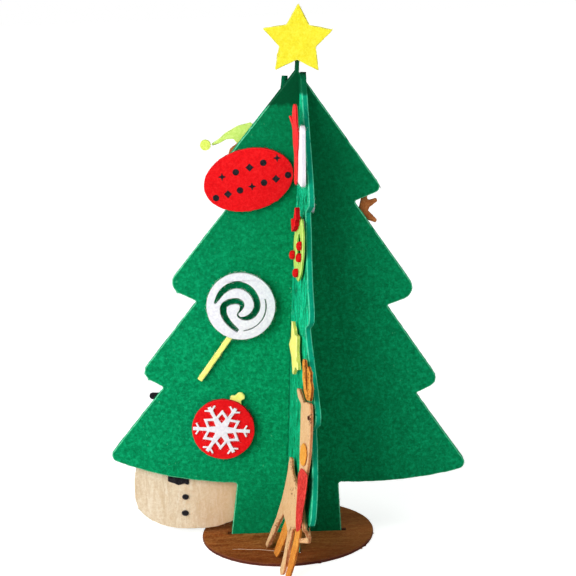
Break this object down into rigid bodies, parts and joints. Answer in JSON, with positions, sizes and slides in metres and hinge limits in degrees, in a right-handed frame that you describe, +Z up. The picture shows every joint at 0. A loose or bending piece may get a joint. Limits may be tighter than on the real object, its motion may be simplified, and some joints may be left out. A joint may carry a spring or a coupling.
{
  "type": "felt christmas tree",
  "caption": "Tabletop felt tree: two slotted tree panels crossed on a round felt base, with a star on top and cut-felt ornaments stuck to both sides.",
  "frame": {"origin": "on the ground, under the middle of the panels' lowest tips, 2 mm to the right of the middle of the base disc", "axes": "+Z up; the wide panel stands in the XZ plane, leaning 3.4 degrees to +X on the base, and its decorated face looks along -Y, which is the front; +X is to the viewer's right"},
  "size_m": [0.1867, 0.1859, 0.2836],
  "materials": {
    "felt_green": "soft wool-like felt, lightly fuzzy, with pale loose fibres",
    "felt_brown": "mottled brown felt",
    "felt_yellow": "smooth bright felt",
    "felt_pale_yellow": "smooth pale yellow felt",
    "felt_red": "smooth bright red felt",
    "felt_berry": "dark red felt",
    "felt_white": "smooth white felt",
    "felt_lime": "smooth lime felt",
    "felt_pale_lime": "smooth pale lime felt",
    "felt_tan": "smooth tan felt",
    "felt_orange": "smooth orange felt",
    "felt_copper": "smooth copper brown felt",
    "felt_cream": "smooth cream felt with a faint vertical nap",
    "felt_black": "matt black felt",
    "hook_pad": "pale hook-and-loop pad"
  },
  "bodies": {
    "root": {"base_disc": "felt_brown", "tree_panel_wide": "felt_green", "tree_panel_cross": "felt_green", "star": "felt_yellow", "sign_plate": "felt_red", "sign_dot": "hook_pad", "lollipop_disc": "felt_white", "lollipop_stick": "felt_pale_yellow", "lollipop_dot": "hook_pad", "bauble_disc": "felt_red", "bauble_cap": "felt_pale_yellow", "bauble_snowflake": "felt_white", "bauble_dot": "hook_pad", "mitten_body": "felt_red", "mitten_trim": "felt_white", "mitten_dot": "hook_pad", "wreath_ring": "felt_lime", "wreath_bow": "felt_red", "wreath_berry_1": "felt_berry", "wreath_berry_2": "felt_berry", "wreath_berry_3": "felt_berry", "wreath_berry_4": "felt_berry", "wreath_dot": "hook_pad", "small_star": "felt_pale_yellow", "small_star_dot": "hook_pad", "deer_body": "felt_tan", "deer_far_legs": "felt_orange", "deer_antlers": "felt_orange", "deer_scarf": "felt_red", "deer_saddle": "felt_orange", "deer_nose": "felt_black", "deer_dot": "hook_pad", "snowball_disc": "felt_white", "snowball_dot": "hook_pad", "snowman_body": "felt_cream", "snowman_hat": "felt_black", "snowman_button_1": "felt_black", "snowman_button_2": "felt_black", "snowman_tie": "felt_black", "snowman_dot": "hook_pad", "gingerbread_body": "felt_copper", "gingerbread_hat": "felt_lime", "gingerbread_pom_pom": "felt_pale_lime", "gingerbread_dot": "hook_pad", "deer_head_face": "felt_tan", "deer_head_antlers": "felt_copper", "deer_head_dot": "hook_pad"}
  },
  "joints": []
}
